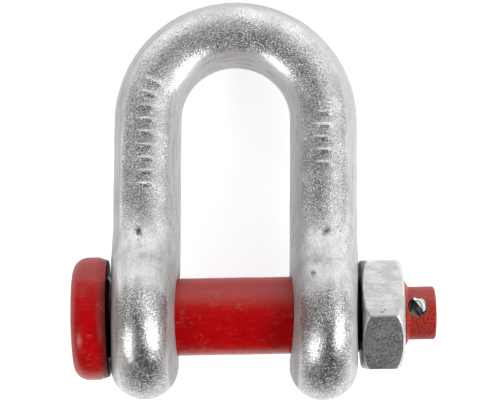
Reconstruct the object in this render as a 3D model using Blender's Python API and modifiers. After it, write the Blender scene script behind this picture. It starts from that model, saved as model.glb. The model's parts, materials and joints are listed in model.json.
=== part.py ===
"""Bolt-type safety chain shackle, lying at rest on its two eyes and its crown.

The bow, the bolt, the nut and the split pin are each one solid. The design frame has the bolt along
X with the nut at +X, the crown towards +Y and the face of the bow towards +Z. The whole shackle then
leans about X, so that the crown comes down to the floor at z = 0. Lengths are in metres.
"""

from math import asin, cos, pi, radians, sin, sqrt, tan

import bmesh
import bpy
from mathutils import Matrix, Vector

MM = 0.001

# Bow
BAR_DIAMETER = 22.3 * MM
INSIDE_WIDTH = 36.5 * MM
LEG_LENGTH = 66.0 * MM          # pin axis to the start of the crown's bend
EYE_DIAMETER = 55.0 * MM
EYE_FILLET = 14.0 * MM          # hollow where the leg flares into the eye
EYE_DRAFT = 0.09                # slope of the eye's sides away from the parting plane
DRAFT_START = 4.0 * MM          # flat strip on each side of the parting plane
HOLE_CLEARANCE = 1.25 * MM      # pin hole over pin, on the radius
HOLE_CHAMFER = 0.8 * MM

# Bolt
PIN_DIAMETER = 25.4 * MM
HEAD_DIAMETER = 40.4 * MM
HEAD_THICKNESS = 11.5 * MM
HEAD_OUTER_ROUND = 5.0 * MM
HEAD_INNER_ROUND = 2.6 * MM
HEAD_FILLET = 0.7 * MM
THREAD_DIAMETER = 22.2 * MM
THREAD_CHAMFER_ANGLE = radians(60)  # from the axis
SHOULDER_CHAMFER = 0.6 * MM
TIP_DIAMETER = 17.5 * MM
TIP_LENGTH = 8.6 * MM
TIP_CHAMFER = 0.9 * MM
THREAD_STANDOUT = 2.1 * MM      # threaded end proud of the nut
CROSS_HOLE_DIAMETER = 6.4 * MM
CROSS_HOLE_SETBACK = 4.5 * MM   # from the nut's outer face
CROSS_HOLE_LEAN = radians(7.6)  # from the bow's face towards the crown

# Nut
NUT_ACROSS_FLATS = 35.3 * MM
NUT_THICKNESS = 13.5 * MM
NUT_STANDOFF = 1.2 * MM         # nut to eye, because it seats on the bolt's shoulder
NUT_FACE_INSET = 0.45 * MM      # flat end of the nut, in from its flats
NUT_CHAMFER_ANGLE = radians(30)
NUT_TURN = radians(9.0)         # corner from the bow's face, away from the crown
NUT_COUNTERSINK = 0.9 * MM

# Split pin
WIRE_DEPTH = 2.6 * MM           # half-round wire, flat to back
LEG_SPACE = 0.3 * MM            # between the flats of the two legs
SPLIT_EYE_OPENING = 3.4 * MM
SPLIT_EYE_NECK = 3.5 * MM       # bend radius where the legs part
LONG_LEG_STANDOUT = 1.5 * MM
SHORT_LEG_SETBACK = 3.0 * MM
SPLIT_TWIST = radians(35.8)     # the eye's plane from the bolt's axis

# Clearance between separate solids
GAP = 0.3 * MM

# Facets
BAR_SIDES = 44
CROWN_STEPS = 12
LEG_STEPS = 4
FILLET_STEPS = 7
EYE_STEPS = 7
RIM_STEPS = 20
TURNED_STEPS = 64
HOLE_STEPS = 56
CROSS_HOLE_STEPS = 32
ARC_STEPS = 7
WIRE_STEPS = 14
NECK_STEPS = 6
EYE_BEND_STEPS = 12
MERGE = 0.00001

# Worked out from the sizes above
bar_radius = BAR_DIAMETER / 2
pin_radius = PIN_DIAMETER / 2
hole_radius = pin_radius + HOLE_CLEARANCE
eye_radius = EYE_DIAMETER / 2
leg_offset = INSIDE_WIDTH / 2 + bar_radius
eye_outer_face = leg_offset + bar_radius
eye_inner_face = leg_offset - bar_radius
reach = LEG_LENGTH + leg_offset
rest_tilt = asin((eye_radius - bar_radius) / reach)
bolt_skew = asin((HOLE_CLEARANCE - GAP) / eye_outer_face)
head_radius = HEAD_DIAMETER / 2
head_face = eye_outer_face + GAP + head_radius * tan(bolt_skew)
nut_inner_face = eye_outer_face + NUT_STANDOFF
nut_outer_face = nut_inner_face + NUT_THICKNESS
thread_radius = THREAD_DIAMETER / 2
tip_radius = TIP_DIAMETER / 2
thread_end = nut_outer_face + THREAD_STANDOUT
cross_hole_position = nut_outer_face + CROSS_HOLE_SETBACK
thread_reach = max(0.0, thread_end - (cross_hole_position - CROSS_HOLE_DIAMETER / 2))
mouth_radius = min(thread_radius, tip_radius + thread_reach * tan(THREAD_CHAMFER_ANGLE))
wire_half_width = CROSS_HOLE_DIAMETER / 2 - GAP


def clear_scene():
    for old in list(bpy.data.objects):
        bpy.data.objects.remove(old, do_unlink=True)


def new_collection(name):
    collection = bpy.data.collections.new(name)
    bpy.context.scene.collection.children.link(collection)
    return collection


def new_material(name, colour, metallic, roughness):
    material = bpy.data.materials.new(name)
    material.use_nodes = True
    shader = material.node_tree.nodes["Principled BSDF"]
    shader.inputs["Base Color"].default_value = (*colour, 1)
    shader.inputs["Metallic"].default_value = metallic
    shader.inputs["Roughness"].default_value = roughness
    return material


def new_empty(name, parent, location, rotation):
    empty = bpy.data.objects.new(name, None)
    parts.objects.link(empty)
    empty.parent = parent
    empty.location = location
    empty.rotation_euler = rotation
    return empty


def new_part(name, data, material, parent, location=(0, 0, 0), rotation=(0, 0, 0)):
    part = bpy.data.objects.new(name, data)
    data.materials.append(material)
    parts.objects.link(part)
    part.parent = parent
    part.location = location
    part.rotation_euler = rotation
    return part


def new_cutter(name, data, parent, location=(0, 0, 0), rotation=(0, 0, 0)):
    cutter = bpy.data.objects.new(name, data)
    cutters.objects.link(cutter)
    cutter.parent = parent
    cutter.location = location
    cutter.rotation_euler = rotation
    cutter.hide_render = True
    cutter.display_type = "WIRE"
    return cutter


def combine(part, cutter, operation="DIFFERENCE"):
    modifier = part.modifiers.new(cutter.name, "BOOLEAN")
    modifier.operation = operation
    modifier.solver = "EXACT"
    modifier.object = cutter


def shade(mesh, angle=radians(35)):
    mesh.shade_smooth()
    mesh.set_sharp_from_angle(angle=angle)


def profile_mesh(name, points):
    """Open outline of a turned piece: (radius, height) pairs, from the top down the outer side."""
    mesh = bpy.data.meshes.new(name)
    vertices = [(radius, 0, height) for radius, height in points]
    mesh.from_pydata(vertices, [(i, i + 1) for i in range(len(points) - 1)], [])
    return mesh


def turn(part, steps=TURNED_STEPS):
    screw = part.modifiers.new("turned", "SCREW")
    screw.axis = "Z"
    screw.angle = 2 * pi
    screw.steps = steps
    screw.render_steps = steps
    screw.use_merge_vertices = True
    screw.merge_threshold = MERGE
    screw.use_smooth_shade = True


def arc(centre_radius, centre_height, radius, start, end, steps=ARC_STEPS):
    """Points of a round in the profile plane, its angles counted from +radius towards +height."""
    angles = [start + (end - start) * i / steps for i in range(steps + 1)]
    return [(centre_radius + radius * cos(a), centre_height + radius * sin(a)) for a in angles]


def section_quarter(half_depth, fraction):
    """Point on a quarter of the bar's section, from mid-side (0) to the face (1), by arc length.

    The section is a round bar drawn out in depth: a half round of the bar at each face, joined by
    flat sides.
    """
    flat = half_depth - bar_radius
    way = fraction * (flat + bar_radius * pi / 2)
    if way <= flat:
        return bar_radius, way
    angle = (way - flat) / bar_radius
    return bar_radius * cos(angle), flat + bar_radius * sin(angle)


def section_half(half_depth):
    """Points from the outer side over the face to the inner side, as (across, depth)."""
    quarter = BAR_SIDES // 4
    outer = [section_quarter(half_depth, i / quarter) for i in range(quarter + 1)]
    return outer + [(-across, depth) for across, depth in reversed(outer[:-1])]


def drafted(across, depth, flare):
    """Draw the side in with depth, as the forging dies leave it; flare is 0 on the bar, 1 on the eye."""
    slope = EYE_DRAFT * flare * max(0.0, abs(depth) - DRAFT_START)
    return across * (1 - slope / bar_radius)


def leg_rows():
    """(distance from the pin axis, half depth) down the leg, over the hollow and round the eye."""
    hollow_start = sqrt((eye_radius + EYE_FILLET) ** 2 - (bar_radius + EYE_FILLET) ** 2)
    turn_angle = asin(hollow_start / (eye_radius + EYE_FILLET))
    rows = []
    for i in range(LEG_STEPS):
        rows.append((LEG_LENGTH + (hollow_start - LEG_LENGTH) * i / LEG_STEPS, bar_radius))
    for i in range(FILLET_STEPS):
        angle = turn_angle * i / FILLET_STEPS
        rows.append((hollow_start - EYE_FILLET * sin(angle), bar_radius + EYE_FILLET * (1 - cos(angle))))
    for i in range(EYE_STEPS + 1):
        angle = turn_angle * (1 - i / EYE_STEPS)
        rows.append((eye_radius * sin(angle), eye_radius * cos(angle)))
    return rows


def half_bow_mesh():
    """Loft from the crown's mid-plane down one leg, closed by the lower half of the eye."""
    half = BAR_SIDES // 2
    mesh = bmesh.new()
    rings = []

    def add_ring(centre, outward, half_depth):
        flare = (half_depth - bar_radius) / (eye_radius - bar_radius)
        face = section_half(half_depth)
        back = [(across, -depth) for across, depth in reversed(face[1:-1])]
        ring = []
        for across, depth in face + back:
            place = centre + outward * drafted(across, depth, flare)
            ring.append(mesh.verts.new((place.x, place.y, depth)))
        rings.append(ring)

    for i in range(CROWN_STEPS):
        angle = pi / 2 * (1 - i / CROWN_STEPS)
        outward = Vector((cos(angle), sin(angle), 0))
        add_ring(Vector((0, LEG_LENGTH, 0)) + outward * leg_offset, outward, bar_radius)
    for distance, half_depth in leg_rows():
        add_ring(Vector((leg_offset, distance, 0)), Vector((1, 0, 0)), half_depth)
    for upper, lower in zip(rings, rings[1:]):
        for j in range(BAR_SIDES):
            k = (j + 1) % BAR_SIDES
            mesh.faces.new((upper[j], upper[k], lower[k], lower[j]))

    # The lower half of the eye is the same section turned about the pin axis, from face to back.
    last = rings[-1]
    section = section_half(eye_radius)
    spokes = [last[: half + 1]]
    for i in range(1, RIM_STEPS):
        angle = pi * i / RIM_STEPS
        spoke = [last[0]]
        for across, radius in section[1:-1]:
            depth = radius * cos(angle)
            x = leg_offset + drafted(across, depth, 1)
            spoke.append(mesh.verts.new((x, -radius * sin(angle), depth)))
        spokes.append(spoke + [last[half]])
    spokes.append([last[-j % BAR_SIDES] for j in range(half + 1)])
    for near, far in zip(spokes, spokes[1:]):
        mesh.faces.new((near[0], near[1], far[1]))
        for j in range(1, half - 1):
            mesh.faces.new((near[j], near[j + 1], far[j + 1], far[j]))
        mesh.faces.new((near[half - 1], near[half], far[half - 1]))

    data = bpy.data.meshes.new("shackle_bow")
    mesh.to_mesh(data)
    mesh.free()
    shade(data)
    return data


def pin_hole_profile():
    """Drill through both eyes, opened to a chamfer at each of the four faces."""
    end = eye_outer_face + HOLE_CHAMFER
    wide = hole_radius + 2 * HOLE_CHAMFER
    side = [
        (0, end),
        (wide, end),
        (hole_radius, eye_outer_face - HOLE_CHAMFER),
        (hole_radius, eye_inner_face + HOLE_CHAMFER),
        (wide, eye_inner_face - HOLE_CHAMFER),
    ]
    return side + [(radius, -height) for radius, height in reversed(side)]


def make_bow(parent):
    bow = new_part("shackle_bow", half_bow_mesh(), galvanised, parent)
    mirror = bow.modifiers.new("other_leg", "MIRROR")
    mirror.use_axis = (True, False, False)
    mirror.use_clip = True
    mirror.merge_threshold = MERGE
    drill = new_cutter("pin_hole", profile_mesh("pin_hole", pin_hole_profile()), parent, rotation=(0, pi / 2, 0))
    turn(drill, HOLE_STEPS)
    combine(bow, drill)
    return bow


def bolt_profile():
    chamfer_length = (thread_radius - tip_radius) / tan(THREAD_CHAMFER_ANGLE)
    tip_end = thread_end + TIP_LENGTH
    shoulder = nut_inner_face - GAP
    head_end = head_face + HEAD_THICKNESS
    points = [
        (0, tip_end),
        (tip_radius - TIP_CHAMFER, tip_end),
        (tip_radius, tip_end - TIP_CHAMFER),
        (tip_radius, thread_end),
        (thread_radius, thread_end - chamfer_length),
        (thread_radius, shoulder),
        (pin_radius - SHOULDER_CHAMFER, shoulder),
        (pin_radius, shoulder - SHOULDER_CHAMFER),
    ]
    points += arc(pin_radius + HEAD_FILLET, HEAD_FILLET - head_face, HEAD_FILLET, pi, 3 * pi / 2, 3)
    points += arc(head_radius - HEAD_INNER_ROUND, -head_face - HEAD_INNER_ROUND, HEAD_INNER_ROUND, pi / 2, 0)
    points += arc(head_radius - HEAD_OUTER_ROUND, HEAD_OUTER_ROUND - head_end, HEAD_OUTER_ROUND, 0, -pi / 2)
    return points + [(0, -head_end)]


def make_bolt(parent):
    bolt = new_part("bolt", profile_mesh("bolt", bolt_profile()), red_paint, parent, rotation=(0, 0, -CROSS_HOLE_LEAN))
    turn(bolt)
    outline = bmesh.new()
    bmesh.ops.create_cone(
        outline,
        cap_ends=True,
        segments=CROSS_HOLE_STEPS,
        radius1=CROSS_HOLE_DIAMETER / 2,
        radius2=CROSS_HOLE_DIAMETER / 2,
        depth=THREAD_DIAMETER,
    )
    data = bpy.data.meshes.new("cross_hole")
    outline.to_mesh(data)
    outline.free()
    shade(data)
    drill = new_cutter("cross_hole", data, bolt, (0, 0, cross_hole_position), (0, pi / 2, 0))
    combine(bolt, drill)
    return bolt


def nut_blank_profile():
    """Turned outline whose cones cut the hexagon's corners back at both ends."""
    face_radius = NUT_ACROSS_FLATS / 2 - NUT_FACE_INSET
    corner_radius = NUT_ACROSS_FLATS / sqrt(3) + GAP
    drop = (corner_radius - face_radius) * tan(NUT_CHAMFER_ANGLE)
    top = NUT_THICKNESS / 2
    return [
        (0, top),
        (face_radius, top),
        (corner_radius, top - drop),
        (corner_radius, drop - top),
        (face_radius, -top),
        (0, -top),
    ]


def nut_bore_profile():
    bore_radius = thread_radius + GAP
    top = NUT_THICKNESS / 2
    end = top + NUT_COUNTERSINK
    wide = bore_radius + 2 * NUT_COUNTERSINK
    return [
        (0, end),
        (wide, end),
        (bore_radius, top - NUT_COUNTERSINK),
        (bore_radius, NUT_COUNTERSINK - top),
        (wide, -end),
        (0, -end),
    ]


def make_nut(parent):
    hexagon = bmesh.new()
    corner_radius = NUT_ACROSS_FLATS / sqrt(3)
    bmesh.ops.create_cone(
        hexagon,
        cap_ends=True,
        segments=6,
        radius1=corner_radius,
        radius2=corner_radius,
        depth=NUT_THICKNESS + GAP,
    )
    # create_cone puts its first corner on +Y; a quarter turn puts a corner on the bow's face side.
    bmesh.ops.rotate(hexagon, verts=hexagon.verts, cent=(0, 0, 0), matrix=Matrix.Rotation(pi / 2, 3, "Z"))
    data = bpy.data.meshes.new("hex_nut")
    hexagon.to_mesh(data)
    hexagon.free()
    shade(data)
    middle = (nut_inner_face + nut_outer_face) / 2
    nut = new_part("hex_nut", data, plain_steel, parent, (0, 0, middle), (0, 0, NUT_TURN))
    blank = new_cutter("nut_blank", profile_mesh("nut_blank", nut_blank_profile()), nut)
    turn(blank)
    combine(nut, blank, "INTERSECT")
    bore = new_cutter("nut_bore", profile_mesh("nut_bore", nut_bore_profile()), nut)
    turn(bore)
    combine(nut, bore)
    return nut


def wire_section():
    """Half-round outline: its flat lies on the path, its round stands off from the other leg."""
    outline = bpy.data.curves.new("wire_section", "CURVE")
    outline.dimensions = "2D"
    spline = outline.splines.new("POLY")
    spline.points.add(WIRE_STEPS)
    for i, point in enumerate(spline.points):
        angle = pi / 2 - pi * i / WIRE_STEPS
        point.co = (WIRE_DEPTH * cos(angle), wire_half_width * sin(angle), 0, 1)
    spline.use_cyclic_u = True
    return outline


def split_pin_path():
    """The flat's line from the short leg's end, round the eye and back up the long leg."""
    leg = LEG_SPACE / 2
    opening = SPLIT_EYE_OPENING / 2
    neck = -(mouth_radius + GAP)
    rise = sqrt((opening + SPLIT_EYE_NECK) ** 2 - (leg + SPLIT_EYE_NECK) ** 2)
    parting = asin(rise / (opening + SPLIT_EYE_NECK))
    long_end = tip_radius + LONG_LEG_STANDOUT
    short_end = tip_radius - SHORT_LEG_SETBACK
    side = []
    for i in range(NECK_STEPS + 1):
        angle = parting * i / NECK_STEPS
        side.append((leg + SPLIT_EYE_NECK * (1 - cos(angle)), neck - SPLIT_EYE_NECK * sin(angle)))
    for i in range(1, EYE_BEND_STEPS + 1):
        angle = parting - (pi / 2 + parting) * i / EYE_BEND_STEPS
        side.append((opening * cos(angle), neck - rise + opening * sin(angle)))
    other = [(-x, y) for x, y in side]
    return [(-leg, short_end)] + other + side[-2::-1] + [(leg, long_end)]


def make_split_pin(parent):
    section = bpy.data.objects.new("wire_section", wire_section())
    cutters.objects.link(section)
    section.hide_render = True
    section.display_type = "WIRE"
    path = bpy.data.curves.new("split_pin", "CURVE")
    path.dimensions = "2D"
    path.fill_mode = "NONE"
    points = split_pin_path()
    spline = path.splines.new("POLY")
    spline.points.add(len(points) - 1)
    for point, (x, y) in zip(spline.points, points):
        point.co = (x, y, 0, 1)
    path.bevel_mode = "OBJECT"
    path.bevel_object = section
    path.use_fill_caps = True
    split_pin = new_part("split_pin", path, plain_steel, parent, (0, 0, cross_hole_position))
    # The legs run to the bow's face side of the bolt, and the eye stands at the back.
    split_pin.rotation_mode = "ZYX"
    split_pin.rotation_euler = (pi / 2 - SPLIT_TWIST, 0, pi / 2)
    return split_pin


def bounds():
    """Lowest and highest corner of all the pieces as they stand."""
    graph = bpy.context.evaluated_depsgraph_get()
    low = Vector((1, 1, 1))
    high = -low
    for piece in (bow, bolt, nut, split_pin):
        shape = piece.evaluated_get(graph)
        for vertex in shape.to_mesh().vertices:
            place = shape.matrix_world @ vertex.co
            low = Vector(map(min, low, place))
            high = Vector(map(max, high, place))
        shape.to_mesh_clear()
    return low, high


clear_scene()
parts = new_collection("chain_shackle")
cutters = new_collection("cutters")
galvanised = new_material("galvanised_steel", (0.62, 0.62, 0.61), 1.0, 0.35)
red_paint = new_material("red_paint", (0.50, 0.01, 0.01), 0.0, 0.35)
plain_steel = new_material("plain_steel", (0.55, 0.55, 0.54), 1.0, 0.32)

# The empty's X is the line through both eyes; it leans until the crown rests with them.
shackle = new_empty("shackle", None, (0, 0, eye_radius), (-rest_tilt, 0, 0))
bow = make_bow(shackle)
bolt_line = new_empty("bolt_line", shackle, (0, 0, 0), (0, pi / 2, bolt_skew))
bolt = make_bolt(bolt_line)
nut = make_nut(bolt_line)
split_pin = make_split_pin(bolt)

# The origin is the middle of the shackle's outline on the floor that it lies on.
low, high = bounds()
shackle.location -= Vector(((low.x + high.x) / 2, (low.y + high.y) / 2, low.z))
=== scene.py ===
import json
from itertools import product
from math import asin, cos, pi, radians, sin, sqrt, tan

import bmesh
import bpy
import numpy as np
from mathutils import Euler, Matrix, Vector


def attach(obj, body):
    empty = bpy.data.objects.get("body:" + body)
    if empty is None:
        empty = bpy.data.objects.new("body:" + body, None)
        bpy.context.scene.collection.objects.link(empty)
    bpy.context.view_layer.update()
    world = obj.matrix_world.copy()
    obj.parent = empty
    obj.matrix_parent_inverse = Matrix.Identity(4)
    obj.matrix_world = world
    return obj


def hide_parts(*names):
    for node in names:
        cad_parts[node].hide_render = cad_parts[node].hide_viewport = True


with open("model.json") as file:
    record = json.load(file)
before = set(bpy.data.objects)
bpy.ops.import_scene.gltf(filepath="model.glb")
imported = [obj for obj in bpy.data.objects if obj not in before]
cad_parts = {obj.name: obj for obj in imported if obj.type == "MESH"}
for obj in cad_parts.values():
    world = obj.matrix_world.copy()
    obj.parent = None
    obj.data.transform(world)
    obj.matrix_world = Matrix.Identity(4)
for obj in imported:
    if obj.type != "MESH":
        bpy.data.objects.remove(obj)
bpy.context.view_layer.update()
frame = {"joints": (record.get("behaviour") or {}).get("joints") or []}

mm = 0.001  # every shape below is worked out in millimetres, in its own piece's frame

# The bow's frame: X along the bolt, Y to the crown, Z out of the face; the origin is on the pin axis.
bowSizes = {
    "barRadius": 11.15,
    "legOffset": 29.4,
    "legLength": 66.0,
    "eyeRadius": 27.5,
    "shoulderRadius": 22.5,
    "hollowRadius": 30.0,
    "draftSlope": 0.09,
    "draftStart": 4.0,
    "ridgeShift": 1.3,
    "holeRadius": 13.95,
    "holeChamfer": 0.8,
}

# The bolt's frame: Z along the bolt to the nut, X straight through the cross hole.
boltSizes = {
    "shankRadius": 12.7,
    "headRadius": 20.2,
    "headThickness": 11.5,
    "headOuterRound": 5.0,
    "headBevel": (3.0, 0.9),
    "headInnerRound": 0.4,
    "headFillet": 0.7,
    "threadRadius": 11.1,
    "threadPitch": 2.8,
    "threadDepth": 1.5,
    # (crest, flank): t turns from its middle the ridge is crest - flank * t high, held between 0 and 1
    "threadRidge": (1.35, 3.0),
    # the thread stops this far short of the threaded end, and fills out to a cylinder just before that
    "threadStop": 1.25,
    "threadRunOut": (1.2, 0.1),
    "threadChamfer": radians(60),
    "shoulderChamfer": 0.6,
    "tipRadius": 8.75,
    "tipLength": 8.6,
    "tipChamfer": 0.5,
    "threadStandout": 2.1,
    "holeRadius": 3.2,
    "holeSetback": 4.5,
    "holeLean": radians(7.6),
}

nutSizes = {
    "acrossFlats": 35.3,
    "thickness": 13.9,
    "standoff": 0.8,
    # how far the flat's middle is cut in at the face towards the eye and at the outer face
    "faceInsets": (0.7, 1.7),
    "chamferLengths": (3.5, 4.5),
    "chamferPower": 2.5,
    "turn": radians(9.0),
    "countersink": 0.9,
    "boreRadius": 11.4,
}

pinSizes = {
    "wireDepth": 2.5,
    "wireHalfWidth": 2.75,
    # the section's middle stands this share of its depth out from the flat
    "middleShare": 0.42,
    "legSpace": 0.3,
    "eyeOpening": 3.4,
    "neckBend": 3.5,
    "longStandout": 1.5,
    "shortSetback": 7.0,
    "twist": radians(35.8),
    # each end is flat to this share of the section, then dished by a little inside its edge
    "endFlat": 0.45,
    "endEdge": 0.2,
    "endDish": 0.3,
}

clearance = 0.3            # head to eye, nut to the bolt's shoulder, and bolt to the split pin's neck
sharpAngle = radians(38)   # edges that turn more than this stay sharp
mergeDistance = 0.000002   # in metres: the edges of a piece's patches meet closer than this


# Shared shape helpers

def hashNoise(cells, seed):
    # a whole-number scramble of each lattice cell, as an even spread from -1 to 1
    mixed = cells[:, 0] * 73856093 ^ cells[:, 1] * 19349663 ^ cells[:, 2] * 83492791 ^ seed * 2654435761
    mixed = (mixed ^ (mixed >> 13)) * 1274126177 & 0xFFFFFFFF
    mixed = (mixed ^ (mixed >> 16)) * 2246822519 & 0xFFFFFFFF
    return ((mixed ^ (mixed >> 11)) & 0xFFFFFF) / 0x7FFFFF - 1


def cloudNoise(points, size, seed):
    # lattice values blended along each axis by 3t^2 - 2t^3, so hills and hollows are about size wide
    cell = points / size + 1000.0
    base = np.floor(cell).astype(np.int64)
    part = cell - base
    ease = part * part * (3 - 2 * part)
    total = np.zeros(len(points))
    for corner in product((0, 1), repeat=3):
        weight = np.prod(np.where(np.array(corner) == 1, ease, 1 - ease), axis=1)
        total += weight * hashNoise(base + np.array(corner), seed)
    return total


def wavesOf(points, waves):
    # cloud noises added up, each given as (height, size, seed)
    return sum(height * cloudNoise(points, size, seed) for height, size, seed in waves)


def stepBetween(low, high, value):
    # 0 below low, 1 above high, and 3t^2 - 2t^3 between them
    t = np.clip((value - low) / (high - low), 0, 1)
    return t * t * (3 - 2 * t)


def arcPoints(centreRadius, centreHeight, radius, start, end, steps):
    # points of a circle's arc in the profile plane, as (radius, height), end points included
    angle = np.linspace(start, end, steps + 1)
    return np.stack([centreRadius + radius * np.cos(angle), centreHeight + radius * np.sin(angle)], 1)


def linePoints(start, end, steps):
    # even points on a straight line, end points included
    t = np.linspace(0, 1, steps + 1)[:, None]
    return np.array(start) * (1 - t) + np.array(end) * t


def turnedPoints(radius, angle, height):
    # points round the Z axis: radius * cos(angle), radius * sin(angle), height
    return np.stack([radius * np.cos(angle), radius * np.sin(angle), height + 0 * angle], -1)


def gridQuads(rows, columns, offset, wrap):
    # the four corners of every cell of a grid of points numbered row by row
    index = offset + np.arange(rows * columns).reshape(rows, columns)
    if wrap:
        index = np.concatenate([index, index[:, :1]], 1)
    corners = [index[:-1, :-1], index[:-1, 1:], index[1:, 1:], index[1:, :-1]]
    return np.stack(corners, -1).reshape(-1, 4)


def pieceFrom(name, patches, place, material, body, node, slotName, shapeFinish):
    # patches are (points as rows x columns x 3, wrap) grids whose edges meet, merged into one closed mesh;
    # then each point moves out along its normal by what shapeFinish gives, and its layers go to the mesh
    points = np.concatenate([patch.reshape(-1, 3) for patch, wrap in patches])
    quads = []
    offset = 0
    for patch, wrap in patches:
        rows, columns = patch.shape[:2]
        quads.append(gridQuads(rows, columns, offset, wrap))
        offset += rows * columns
    mesh = bpy.data.meshes.new(name)
    mesh.from_pydata((points * mm).tolist(), [], np.concatenate(quads).tolist())
    shape = bmesh.new()
    shape.from_mesh(mesh)
    bmesh.ops.remove_doubles(shape, verts=shape.verts, dist=mergeDistance)
    bmesh.ops.recalc_face_normals(shape, faces=shape.faces)
    openEdges = sum(1 for edge in shape.edges if not edge.is_manifold)
    shape.to_mesh(mesh)
    shape.free()
    count = len(mesh.vertices)
    spot = np.zeros(count * 3)
    mesh.vertices.foreach_get("co", spot)
    spot = spot.reshape(-1, 3) / mm
    normal = np.zeros(count * 3)
    mesh.vertex_normals.foreach_get("vector", normal)
    lift, layers = shapeFinish(spot)
    for label, values in {"place": spot, **layers}.items():
        flat = values.ndim == 1
        layer = mesh.attributes.new(label, "FLOAT" if flat else "FLOAT_VECTOR", "POINT")
        layer.data.foreach_set("value" if flat else "vector", values.astype(np.float32).ravel())
    spot = spot + normal.reshape(-1, 3) * lift[:, None]
    turned = spot * mm @ np.array(place.to_3x3()).T + np.array(place.translation)
    mesh.vertices.foreach_set("co", turned.astype(np.float32).ravel())
    mesh.update()
    mesh.shade_smooth()
    mesh.set_sharp_from_angle(angle=sharpAngle)
    mesh.materials.append(material)
    piece = bpy.data.objects.new(name, mesh)
    bpy.context.scene.collection.objects.link(piece)
    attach(piece, body)
    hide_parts(node)
    print(name, len(mesh.polygons), "faces,", openEdges, "open edges")


# Where each piece's frame stands in the world; the bolt lies as far askew as its play in the holes lets it

eyeOuterFace = bowSizes["legOffset"] + bowSizes["barRadius"]
skew = asin((bowSizes["holeRadius"] - boltSizes["shankRadius"] - clearance) / eyeOuterFace)
pinAxis = next(joint for joint in frame["joints"] if joint["name"] == "bolt_spin")
reach = bowSizes["legLength"] + bowSizes["legOffset"]
restTilt = asin((bowSizes["eyeRadius"] - bowSizes["barRadius"]) / reach)
bowPlace = Matrix.Translation(pinAxis["pos_m"]) @ Matrix.Rotation(-restTilt, 4, "X")
boltLine = bowPlace @ Euler((0, pi / 2, skew)).to_matrix().to_4x4()
boltPlace = boltLine @ Matrix.Rotation(-boltSizes["holeLean"], 4, "Z")

nutInnerFace = eyeOuterFace + nutSizes["standoff"]
nutOuterFace = nutInnerFace + nutSizes["thickness"]
nutMiddle = (nutInnerFace + nutOuterFace) / 2
threadEnd = nutOuterFace + boltSizes["threadStandout"]
crossHoleHeight = nutOuterFace + boltSizes["holeSetback"]
nutPlace = boltLine @ Matrix.Translation((0, 0, nutMiddle * mm)) @ Matrix.Rotation(nutSizes["turn"], 4, "Z")
wireTurn = Euler((pi / 2 - pinSizes["twist"], 0, pi / 2), "ZYX").to_matrix().to_4x4()
wirePlace = boltPlace @ Matrix.Translation((0, 0, crossHoleHeight * mm)) @ wireTurn


# The forged bow

bowGrid = {
    # how far from the pin axis the hole's own columns last, and where even ones have taken over
    "eyeEnd": 21.8,
    "flareEnd": 40.0,
    "holeColumns": 20,
    "stripColumns": 2,
    "noseColumns": 22,
    "eyeRows": 26,
    "flareRows": 26,
    "legRows": 78,
    "crownRows": 150,
    "rimRows": 84,
    "wallRows": 14,
}


def flareEnds():
    # where the shoulder's circle passes into the hollow's, and the hollow's into the bar: circles that touch
    # have their centres the sum of their radii apart
    shoulder, hollow, bar = bowSizes["shoulderRadius"], bowSizes["hollowRadius"], bowSizes["barRadius"]
    apart = bar + hollow - (bowSizes["eyeRadius"] - shoulder)
    hollowEnd = sqrt((shoulder + hollow) ** 2 - apart ** 2)
    return shoulder * hollowEnd / (shoulder + hollow), hollowEnd


def halfDepth(distance):
    # half the bar's depth at a distance from the pin axis: the shoulder's circle, the hollow's, then the bar
    shoulder, hollow, bar = bowSizes["shoulderRadius"], bowSizes["hollowRadius"], bowSizes["barRadius"]
    shoulderEnd, hollowEnd = flareEnds()
    raised = bowSizes["eyeRadius"] - shoulder
    rounded = raised + np.sqrt(np.maximum(shoulder ** 2 - distance ** 2, 0))
    curve = bar + hollow - np.sqrt(np.maximum(hollow ** 2 - (hollowEnd - distance) ** 2, 0))
    return np.where(distance < shoulderEnd, rounded, np.where(distance < hollowEnd, curve, bar))


def draftedAcross(across, depth, half):
    # the side drawn in with depth as the dies leave it, and the ridge of the flared eye moved outwards
    bar = bowSizes["barRadius"]
    flare = (half - bar) / (bowSizes["eyeRadius"] - bar)
    slope = bowSizes["draftSlope"] * flare * np.maximum(0, np.abs(depth) - bowSizes["draftStart"])
    lean = bowSizes["ridgeShift"] * flare * np.clip(np.abs(depth) / half, 0, 1) ** 4
    return across * (1 - slope / bar) + lean


def quarterColumns():
    # from mid-side to the face: share of the flat strip, then angle on the round nose; the first columns start
    # on the edge of the pin hole, as far from the pin axis as starts says
    hole = bowSizes["holeRadius"] + bowSizes["holeChamfer"]
    angle = np.linspace(pi / 2, 0, bowGrid["holeColumns"] + 1)
    start = hole * np.sin(angle)
    flat = halfDepth(start) - bowSizes["barRadius"]
    share = hole * np.cos(angle) / flat
    strip = np.linspace(share[-1], 1, bowGrid["stripColumns"] + 1)[1:]
    nose = np.linspace(0, pi / 2, bowGrid["noseColumns"] + 1)[1:]
    shares = np.concatenate([share, strip, np.ones(len(nose))])
    angles = np.concatenate([np.zeros(len(share) + len(strip)), nose])
    starts = np.concatenate([start, np.zeros(len(strip) + len(nose))])
    return shares, angles, starts


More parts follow.
